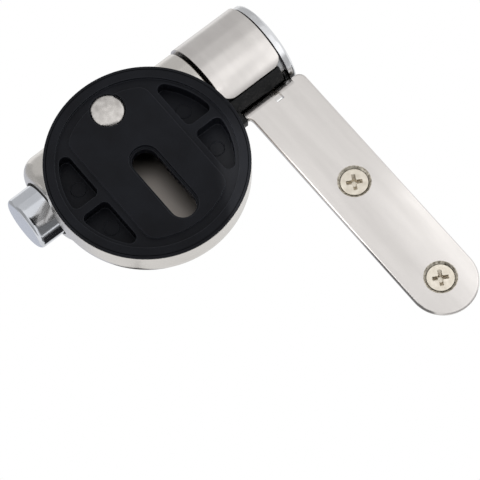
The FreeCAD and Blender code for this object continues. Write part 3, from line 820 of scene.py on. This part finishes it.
class GrownPiece:
    """A piece grown by Geometry Nodes, whose shapes take their sizes by the names of the tree's inputs."""

    CORNER_STEPS = 3
    KINDS = {float: "Float", tuple: "Vector", bpy.types.Material: "Material"}

    def __init__(self, name: str, values: dict[str, Any]) -> None:
        """Start the tree, with an input for each value.

        Args:
            name: The piece's name.
            values: The sizes, places and material, by input name.
        """
        self.name = name
        self.values = values
        self.tree = bpy.data.node_groups.new(name, "GeometryNodeTree")
        for label, value in values.items():
            kind = f"NodeSocket{self.KINDS[type(value)]}"
            self.tree.interface.new_socket(name=label, in_out="INPUT", socket_type=kind)
        self.tree.interface.new_socket(name="Geometry", in_out="OUTPUT", socket_type="NodeSocketGeometry")
        self.board = NodeBoard(self.tree)
        self.inlet = self.board.add("NodeGroupInput").outputs

    def circle(self, radius: str, steps: int) -> Socket:
        """Add a flat circle.

        Args:
            radius: The circle's radius.
            steps: The number of steps round the circle.

        Returns:
            The circle's curve.
        """
        values = {"Resolution": steps, "Radius": self.inlet[radius]}
        return self.board.add("GeometryNodeCurvePrimitiveCircle", values).outputs["Curve"]

    def band(self, radius: str, width: str, height: str, corner: str, steps: int) -> Socket:
        """Add a flat ring of oblong section with rounded corners.

        Args:
            radius: The ring's radius.
            width: The section's width.
            height: The section's height.
            corner: The corners' radius.
            steps: The number of steps round the ring.

        Returns:
            The ring's mesh.
        """
        section = self.board.add("GeometryNodeCurvePrimitiveQuadrilateral", mode="RECTANGLE",
                                 values={"Width": self.inlet[width], "Height": self.inlet[height]})
        rounded = self.board.add("GeometryNodeFilletCurve", mode="POLY", values={
            "Curve": section.outputs["Curve"], "Count": self.CORNER_STEPS, "Radius": self.inlet[corner]})
        return self.sweep(self.circle(radius, steps), rounded.outputs["Curve"])

    def helix(self, turns: str, height: str, start: str, end: str, steps: int) -> Socket:
        """Add a right-handed helix about the upright axis.

        Args:
            turns: The number of turns.
            height: The helix's height.
            start: The radius at the foot.
            end: The radius at the top.
            steps: The number of steps in a turn.

        Returns:
            The helix's curve.
        """
        spiral = self.board.add("GeometryNodeCurveSpiral", {
            "Resolution": steps, "Reverse": True, "Rotations": self.inlet[turns],
            "Height": self.inlet[height], "Start Radius": self.inlet[start], "End Radius": self.inlet[end]})
        return spiral.outputs["Curve"]

    def wire(self, curve: Socket, radius: str, steps: int) -> Socket:
        """Sweep a round section, with a number of steps round it, along a curve."""
        return self.sweep(curve, self.circle(radius, steps))

    def sweep(self, curve: Socket, section: Socket) -> Socket:
        """Sweep a section along a curve, kept upright.

        Args:
            curve: The curve's output.
            section: The section's output.

        Returns:
            The mesh, closed at its ends.
        """
        upright = self.board.add("GeometryNodeSetCurveNormal", {"Curve": curve}, mode="Z_UP")
        mesh = self.board.add("GeometryNodeCurveToMesh", {
            "Curve": upright.outputs["Curve"], "Profile Curve": section, "Fill Caps": True})
        return mesh.outputs["Mesh"]

    def place(self, shape: Socket, turn: Triple = ORIGIN) -> Socket:
        """Turn a shape and move it by the input Place.

        Args:
            shape: The shape's output.
            turn: The angles of the turn.

        Returns:
            The placed shape.
        """
        values = {"Geometry": shape, "Translation": self.inlet["Place"], "Rotation": turn}
        return self.board.add("GeometryNodeTransform", values).outputs["Geometry"]

    def repeat(self, shape: Socket, points: Socket) -> Socket:
        """Set copies of a shape on points, and return the copies' output."""
        copies = self.board.add("GeometryNodeInstanceOnPoints", {"Points": points, "Instance": shape})
        return copies.outputs["Instances"]

    def grow(self, shape: Socket, body: Body) -> bpy.types.Object:
        """End the tree with a shape, and make it a plain mesh that rides on a body.

        Args:
            shape: The shape's output.
            body: The body that carries the piece.

        Returns:
            The finished piece.
        """
        solid = self.board.add("GeometryNodeRealizeInstances", {"Geometry": shape}).outputs["Geometry"]
        painted = self.board.add("GeometryNodeSetMaterial", {"Geometry": solid,
                                                             "Material": self.inlet["Material"]})
        self.board.add("NodeGroupOutput", {"Geometry": painted.outputs["Geometry"]})
        piece = add_object(self.name, bpy.data.meshes.new(f"{self.name}_seed"))
        modifier = piece.modifiers.new("grown", "NODES")
        modifier.node_group = self.tree
        for socket in self.tree.interface.items_tree:
            if socket.in_out == "INPUT":
                modifier[socket.identifier] = self.values[socket.name]
        evaluated = piece.evaluated_get(bpy.context.evaluated_depsgraph_get())
        mesh = bpy.data.meshes.new_from_object(evaluated)
        piece.modifiers.remove(modifier)
        piece.data = mesh
        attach(piece, body.value)
        LOG.info("built %s with %d faces", piece.name, len(mesh.polygons))
        return piece


@dataclass
class SubAssembly:
    """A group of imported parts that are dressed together, with the pieces that the scene adds to them."""

    wardrobe: Wardrobe

    def finishes(self) -> dict[str, Finish]:
        """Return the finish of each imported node."""
        raise NotImplementedError

    def dress(self) -> None:
        """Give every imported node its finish."""
        for node, finish in self.finishes().items():
            self.wardrobe.dress(node, finish)

    def build(self) -> None:
        """Build the added pieces, where the group has them."""


@dataclass
class BasePad(SubAssembly):
    """The moulded pad that stands on the ceramic, with the riveted stud in it."""

    mark_radius: float = 2.1 * MM
    mark_line: float = 0.16 * MM
    mark_x: float = 18.2 * MM
    mark_y: float = 7.2 * MM
    mark_rows: int = 2
    mark_columns: int = 2
    mark_steps: int = 40
    mark_corners: int = 8
    pocket_depth: float = 5.2 * MM
    edge_inset: float = 0.05 * MM
    edge_width: float = 1.05 * MM
    edge_height: float = 0.36 * MM
    edge_corner: float = 0.12 * MM
    edge_steps: int = 144

    def finishes(self) -> dict[str, Finish]:
        """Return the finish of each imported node."""
        return {"base_pad": PAD_BLACK, "latch_stud": RIVET, "stud_washer": PLATED_SCREW}

    def build(self) -> None:
        """Build the marks and the soft edge."""
        self.build_marks()
        self.build_edge()

    def build_marks(self) -> None:
        """Raise the round marks that the mould's pins leave on the floors of the four pockets."""
        middle_x, middle_y, _ = middle("base_pad")
        low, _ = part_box("base_pad")
        grown = GrownPiece("pin_marks", {
            "Radius": self.mark_radius,
            "Line": self.mark_line,
            "Width": 2 * self.mark_x,
            "Depth": 2 * self.mark_y,
            "Place": (middle_x, middle_y, low.z + self.pocket_depth),
            "Material": self.wardrobe.material(PAD_BLACK),
        })
        corners = grown.board.add("GeometryNodeMeshGrid", {
            "Vertices X": self.mark_columns, "Vertices Y": self.mark_rows,
            "Size X": grown.inlet["Width"], "Size Y": grown.inlet["Depth"]})
        ring = grown.wire(grown.circle("Radius", self.mark_steps), "Line", self.mark_corners)
        marks = grown.repeat(ring, grown.place(corners.outputs["Mesh"]))
        grown.grow(marks, Body.BASE)

    def build_edge(self) -> None:
        """Lay the pad's soft edge under the cup's lip, where it seals the lip to the ceramic."""
        middle_x, middle_y, _ = middle("base_pad")
        low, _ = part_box("base_pad")
        _, housing_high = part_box("hinge_housing")
        grown = GrownPiece("pad_edge", {
            "Radius": housing_high.y - middle_y - self.edge_inset - self.edge_width / 2,
            "Width": self.edge_width,
            "Height": self.edge_height,
            "Corner": self.edge_corner,
            "Place": (middle_x, middle_y, low.z + self.edge_height / 2),
            "Material": self.wardrobe.material(PAD_BLACK),
        })
        band = grown.band("Radius", "Width", "Height", "Corner", self.edge_steps)
        grown.grow(grown.place(band), Body.BASE)


@dataclass
class HingeHousing(SubAssembly):
    """The pressed cup with its barrel, and the plug that closes the barrel."""

    inside_radius: float = 26.3 * MM
    inside_low: float = 0.5 * MM
    inside_high: float = 11.65 * MM

    def finishes(self) -> dict[str, Finish]:
        """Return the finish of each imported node."""
        # The zone paints shade inside the cup, where the slot lets little light in
        inside = Zone(ORIGIN, self.inside_radius, self.inside_low, self.inside_high)
        return {"hinge_housing": replace(HOUSING_STEEL, zones=(inside,)), "barrel_plug": DAMPER_BLACK}


@dataclass
class ReleaseLatch(SubAssembly):
    """The push button with its plunger and spring, and a dark ring that the button slides through, standing
    in for the shade in the gap at its root.
    """

    mouth_x: float = -24.2 * MM
    shade_ring_gap: float = 0.05 * MM
    shade_ring_line: float = 0.28 * MM
    shade_ring_steps: int = 96
    shade_ring_corners: int = 8
    spring_wire: float = 1.0 * MM
    spring_turns: float = 5.5
    spring_steps: int = 32
    spring_corners: int = 10
    travel: float = 4.0 * MM

    def finishes(self) -> dict[str, Finish]:
        """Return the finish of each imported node."""
        return {"release_button": CHROME, "release_plunger": SLIP_PLASTIC, "button_spring": SPRING_WIRE}

    def build(self) -> None:
        """Build the wiper ring and the spring."""
        self.build_shade_ring()
        self.build_spring()

    def build_shade_ring(self) -> None:
        """Set the dark ring, a painted shadow of the gap round the button, in the mouth of the button's bore.
        """
        _, axis_y, axis_z = middle("release_button")
        low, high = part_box("release_button")
        # A dark rubber ring put where the gap round the button lies in shade
        grown = GrownPiece("button_shade_ring", {
            "Radius": (high.y - low.y) / 2 + self.shade_ring_gap + self.shade_ring_line,
            "Line": self.shade_ring_line,
            "Place": (self.mouth_x, axis_y, axis_z),
            "Material": self.wardrobe.material(SEAL_RUBBER),
        })
        ring = grown.wire(grown.circle("Radius", self.shade_ring_steps), "Line", self.shade_ring_corners)
        grown.grow(grown.place(ring, TURN_TO_X), Body.BASE)

    def build_spring(self) -> None:
        """Wind the spring anew in place of the imported one, which it hides."""
        _, axis_y, axis_z = middle("button_spring")
        low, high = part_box("button_spring")
        length = high.x - low.x
        grown = GrownPiece("button_coil", {
            "Turns": self.spring_turns,
            "Length": length - self.spring_wire,
            "Radius": (high.y - low.y - self.spring_wire) / 2,
            "Wire": self.spring_wire / 2,
            "Place": (low.x + self.spring_wire / 2, axis_y, axis_z),
            "Material": self.wardrobe.material(SPRING_WIRE),
        })
        coil = grown.helix("Turns", "Length", "Radius", "Radius", self.spring_steps)
        wound = grown.place(grown.wire(coil, "Wire", self.spring_corners), TURN_TO_X)
        coiled = grown.grow(wound, Body.BASE)
        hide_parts("button_spring")
        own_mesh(coiled)


@dataclass
class Damper(SubAssembly):
    """The soft-closing damper inside the strap's curl, and the cap over its end."""

    def finishes(self) -> dict[str, Finish]:
        """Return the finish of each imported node."""
        return {
            "thrust_washer": DAMPER_BLACK,
            "damper_rotor": SLIP_PLASTIC,
            "damper_body": DAMPER_BLACK,
            "damper_cover": DAMPER_BLACK,
            "damper_seal": SEAL_RUBBER,
            "end_cap": CAP_CHROME,
        }


@dataclass
class SeatStrap(SubAssembly):
    """The curled strap that carries the seat, and its two screws."""

    core_radius: float = 2.0 * MM
    ridge: float = 0.45 * MM
    pitch: float = 1.8 * MM
    turns: float = 5.0
    tip_turns: float = 1.8
    tip_length: float = 3.4 * MM
    tip_radius: float = 0.45 * MM
    tip_inset: float = 3.5 * MM
    turn_steps: int = 28
    ridge_corners: int = 4
    screws: int = 2
    # The ring of painted shade round each screw
    shade_radius: float = 4.75 * MM
    shade_below: float = 0.6 * MM
    shade_above: float = 1.2 * MM

    def screw_places(self) -> list[Place]:
        """Find the centre of each screw's head.

        Returns:
            The centres, from the near screw to the far one.
        """
        low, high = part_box("strap_screws")
        head = (high.x - low.x) / 2
        return [(low.x + head, low.y + head, low.z), (low.x + head, high.y - head, low.z)]

    def finishes(self) -> dict[str, Finish]:
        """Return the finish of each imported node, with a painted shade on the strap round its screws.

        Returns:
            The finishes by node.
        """
        screw_shades = tuple(
            Zone(place, self.shade_radius, place[2] - self.shade_below, place[2] + self.shade_above)
            for place in self.screw_places())
        return {"seat_strap": replace(STRAP_STEEL, zones=screw_shades), "strap_screws": PLATED_SCREW}

    def build(self) -> None:
        """Raise the threads on the shanks of the screws."""
        near, far = self.screw_places()
        _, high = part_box("strap_screws")
        height = self.turns * self.pitch
        grown = GrownPiece("screw_threads", {
            "Core Radius": self.core_radius,
            "Ridge": self.ridge,
            "Turns": self.turns,
            "Height": height,
            "Tip Turns": self.tip_turns,
            "Tip Height": self.tip_length,
            "Tip Radius": self.tip_radius,
            "Place": (near[0], near[1], high.z - self.tip_inset - height),
            "Spacing": (0.0, far[1] - near[1], 0.0),
            "Material": self.wardrobe.material(PLATED_SCREW),
        })
        board, inlet = grown.board, grown.inlet
        shank = grown.helix("Turns", "Height", "Core Radius", "Core Radius", self.turn_steps)
        tip = grown.helix("Tip Turns", "Tip Height", "Core Radius", "Tip Radius", self.turn_steps)
        lift = board.add("ShaderNodeCombineXYZ", {"Z": inlet["Height"]}).outputs["Vector"]
        raised = board.add("GeometryNodeTransform", {"Geometry": tip, "Translation": lift})
        both = board.add("GeometryNodeJoinGeometry", {"Geometry": raised.outputs["Geometry"]})
        board.feed([shank], both.inputs)
        ridge = grown.wire(both.outputs["Geometry"], "Ridge", self.ridge_corners)
        spots = board.add("GeometryNodeMeshLine", {
            "Count": self.screws, "Start Location": inlet["Place"], "Offset": inlet["Spacing"]})
        grown.grow(grown.repeat(ridge, spots.outputs["Mesh"]), Body.STRAP)


@dataclass(frozen=True)
class Lamp:
    """A soft square lamp."""

    name: str
    place: Place
    size: float
    watts: float
    aim: Place = (0.0, 0.02, 0.01)
    mirrored: bool = True

    def build(self) -> None:
        """Add the lamp to the scene."""
        light = bpy.data.lights.new(self.name, "AREA")
        light.shape = "SQUARE"
        light.size = self.size
        light.energy = self.watts
        lamp = add_object(self.name, light)
        lamp.location = self.place
        lamp.visible_glossy = self.mirrored
        lamp.rotation_euler = (Vector(self.aim) - Vector(self.place)).to_track_quat("-Z", "Y").to_euler()


@dataclass(frozen=True)
class Card:
    """A grey card that only reflections show, as a studio uses to shape metal."""

    name: str
    way: Triple
    distance: float
    size: tuple[float, float]
    shade: Triple
    facing: Place = ORIGIN

    def build(self) -> None:
        """Add the card to the stage."""
        way = Vector(self.way).normalized()
        place = Vector(self.facing) + way * self.distance
        turn = (-way).to_track_quat("Z", "Y").to_matrix()
        half_x, half_y = self.size[0] / 2, self.size[1] / 2
        corners = [(-half_x, -half_y, 0), (half_x, -half_y, 0), (half_x, half_y, 0), (-half_x, half_y, 0)]
        mesh = bpy.data.meshes.new(self.name)
        mesh.from_pydata([turn @ Vector(corner) + place for corner in corners], [], [(0, 1, 2, 3)])
        mesh.materials.append(self.material())
        card = add_object(self.name, mesh)
        card.visible_camera = False
        card.visible_diffuse = False
        card.visible_shadow = False

    def material(self) -> bpy.types.Material:
        """Make the card's even grey, which only its face shows.

        Returns:
            The material.
        """
        made, board = blank_material(self.name)
        glow = board.add("ShaderNodeEmission", {"Color": (*self.shade, 1.0)})
        clear = board.add("ShaderNodeBsdfTransparent")
        behind = board.add("ShaderNodeNewGeometry").outputs["Backfacing"]
        card = board.blend(Blend.SHADER, behind, glow.outputs["Emission"], clear.outputs["BSDF"])
        board.add("ShaderNodeOutputMaterial", {"Surface": card})
        return made


# Places on the part that the small cards face
BUTTON_PLACE: Place = (-0.029, -0.0155, 0.025)
STRAP_PLACE: Place = (0.0616, 0.055, 0.016)
STRAP_SIDE_PLACE: Place = (0.035, 0.067, 0.04)
STRAP_EDGE_PLACE: Place = (0.035, 0.053, 0.02)


@dataclass
class Studio:
    """The pale stage: floor, white surroundings, lamps, cards and camera."""

    floor_radius: float = 1.6
    floor_fade: float = 0.35
    floor_drop: float = 0.3 * MM
    floor_rings: int = 3
    floor_steps: int = 64
    floor_colour: Colour = display_colour(248, 248, 248)
    shade_level: float = 0.72
    eye: Place = (-0.187694, 0.288033, -0.803501)
    aim: Place = (0.00618, 0.03193, 0.00503)
    up: Triple = (0.591, -0.71736, -0.36893)
    view_angle: float = math.radians(8.456)
    clip_start: float = 0.01
    lamps: tuple[Lamp, ...] = (
        Lamp("key_below", (0.2, 0.22, -0.75), 0.3, 0.08),
        Lamp("fill_below", (-0.6, 0.2, -0.35), 0.6, 0.22),
        Lamp("key_above", (-0.45, -0.5, 0.7), 1.0, 1.2, mirrored=False),
        Lamp("fill_above", (0.6, 0.5, 0.6), 1.0, 0.6),
    )
    cards: tuple[Card, ...] = (
        Card("back_card", (0.1, -1.0, 0.0), 0.9, (2.4, 1.0), even(0.63)),
        Card("back_low_card", (0.15, -0.69, -0.72), 0.95, (1.8, 0.54), even(0.72)),
        Card("back_left_card", (-0.45, -0.68, 0.58), 0.8, (0.6, 0.5), even(0.48)),
        Card("left_card", (-1.0, -0.1, -0.15), 0.8, (1.4, 1.2), even(0.42)),
        Card("top_card", (0.05, 0.0, 1.0), 0.9, (1.6, 1.6), even(0.85)),
        Card("end_card", (-0.18, -0.34, 0.92), 0.6, (0.35, 0.35), (0.61, 0.63, 0.69)),
        Card("front_high_card", (0.18, 0.8, 0.55), 0.8, (1.2, 0.45), even(0.15)),
        Card("front_card", (0.18, 0.97, -0.1), 0.85, (1.4, 0.5), even(0.6)),
        Card("button_dark_card", (0.18, 0.77, 0.62), 0.04, (0.02, 0.031), (0.012, 0.012, 0.014),
             BUTTON_PLACE),
        Card("button_grey_card", (0.18, 0.92, -0.34), 0.1, (0.08, 0.1), even(0.19), BUTTON_PLACE),
        Card("button_line_card", (-0.065, 0.468, -0.882), 0.093, (0.09, 0.06), even(0.02), BUTTON_PLACE),
        Card("strap_card", (0.5, 0.0, -0.87), 0.06, (0.07, 0.05), even(1.5), STRAP_PLACE),
        Card("strap_side_card", (-1.0, 0.0, 0.0), 0.02, (0.05, 0.1), even(0.2), STRAP_SIDE_PLACE),
        Card("strap_edge_card", (-0.55, -0.29, -0.78), 0.04, (0.08, 0.03), even(2.6), STRAP_EDGE_PLACE),
    )

    def build(self) -> None:
        """Set the whole stage."""
        self.build_floor()
        self.build_world()
        for lamp in self.lamps:
            lamp.build()
        for card in self.cards:
            card.build()
        self.build_camera()
        LOG.info("set the stage with %d lamps and %d cards", len(self.lamps), len(self.cards))

    def build_floor(self) -> None:
        """Lay a round floor that only the view from above sees, fading out at its edge."""
        rows = []
        for ring in range(1, self.floor_rings + 1):
            radius = self.floor_radius * ring / self.floor_rings
            for step in range(self.floor_steps):
                turn = 2 * math.pi * step / self.floor_steps
                rows.append((radius * math.cos(turn), radius * math.sin(turn), -self.floor_drop))
        faces: list[tuple[int, ...]] = [tuple(range(self.floor_steps))]
        for ring in range(self.floor_rings - 1):
            for step in range(self.floor_steps):
                after = (step + 1) % self.floor_steps
                inner, outer = ring * self.floor_steps, (ring + 1) * self.floor_steps
                faces.append((inner + step, outer + step, outer + after, inner + after))
        mesh = bpy.data.meshes.new("floor")
        mesh.from_pydata(rows, [], faces)
        mesh.materials.append(self.floor_material())
        floor = add_object("floor", mesh)

    def floor_material(self) -> bpy.types.Material:
        """Make the floor's paper, which only the camera sees, from above.

        Returns:
            The material.
        """
        made, board = blank_material("floor_paper")
        paper = board.add("ShaderNodeBsdfDiffuse", {"Color": self.floor_colour})
        clear = board.add("ShaderNodeBsdfTransparent")
        rays = board.add("ShaderNodeLightPath")
        side = board.add("ShaderNodeNewGeometry")
        point = board.add("ShaderNodeTexCoord").outputs["Object"]
        fade = board.spread(board.vector("LENGTH", point)["Value"],
                            (self.floor_fade * self.floor_radius, self.floor_radius), 1.0, 0.0,
                            interpolation_type="SMOOTHSTEP")
        front = board.math("SUBTRACT", 1.0, side.outputs["Backfacing"])
        seen = board.math("MULTIPLY", front, rays.outputs["Is Camera Ray"])
        shown = board.math("MULTIPLY", seen, fade)
        floor = board.blend(Blend.SHADER, shown, clear.outputs["BSDF"], paper.outputs["BSDF"])
        board.add("ShaderNodeOutputMaterial", {"Surface": floor})
        return made

    def build_world(self) -> None:
        """Surround the stage with white that the camera and reflections see, and a softer light for shade."""
        world = bpy.data.worlds.new("studio_white")
        bpy.context.scene.world = world
        world.use_nodes = True
        board = NodeBoard(world.node_tree)
        rays = board.add("ShaderNodeLightPath")
        shade = board.add("ShaderNodeBackground", {"Color": WHITE, "Strength": self.shade_level})
        white = board.add("ShaderNodeBackground", {"Color": WHITE, "Strength": 1.0})
        direct = board.math("ADD", rays.outputs["Is Camera Ray"], rays.outputs["Is Glossy Ray"])
        seen = board.math("ADD", direct, rays.outputs["Is Transmission Ray"])
        sky = board.blend(Blend.SHADER, seen, shade.outputs["Background"], white.outputs["Background"])
        board.add("ShaderNodeOutputWorld", {"Surface": sky})

    def build_camera(self) -> None:
        """Place the camera at the photograph's angle."""
        back = (Vector(self.eye) - Vector(self.aim)).normalized()
        right = Vector(self.up).cross(back).normalized()
        lens = bpy.data.cameras.new("camera")
        lens.angle = self.view_angle
        lens.clip_start = self.clip_start
        camera = add_object("camera", lens)
        turn = Matrix((right, back.cross(right), back)).transposed().to_4x4()
        camera.matrix_world = Matrix.Translation(self.eye) @ turn
        bpy.context.scene.camera = camera


def main() -> None:
    """Build the scene in order."""
    logging.basicConfig(level=logging.INFO, format="%(name)s: %(message)s")
    bpy.context.scene.view_settings.view_transform = "Standard"
    wardrobe = Wardrobe()
    for kind in (BasePad, HingeHousing, ReleaseLatch, Damper, SeatStrap):
        assembly = kind(wardrobe)
        assembly.dress()
        assembly.build()
    Studio().build()


if __name__ == "__main__":
    main()
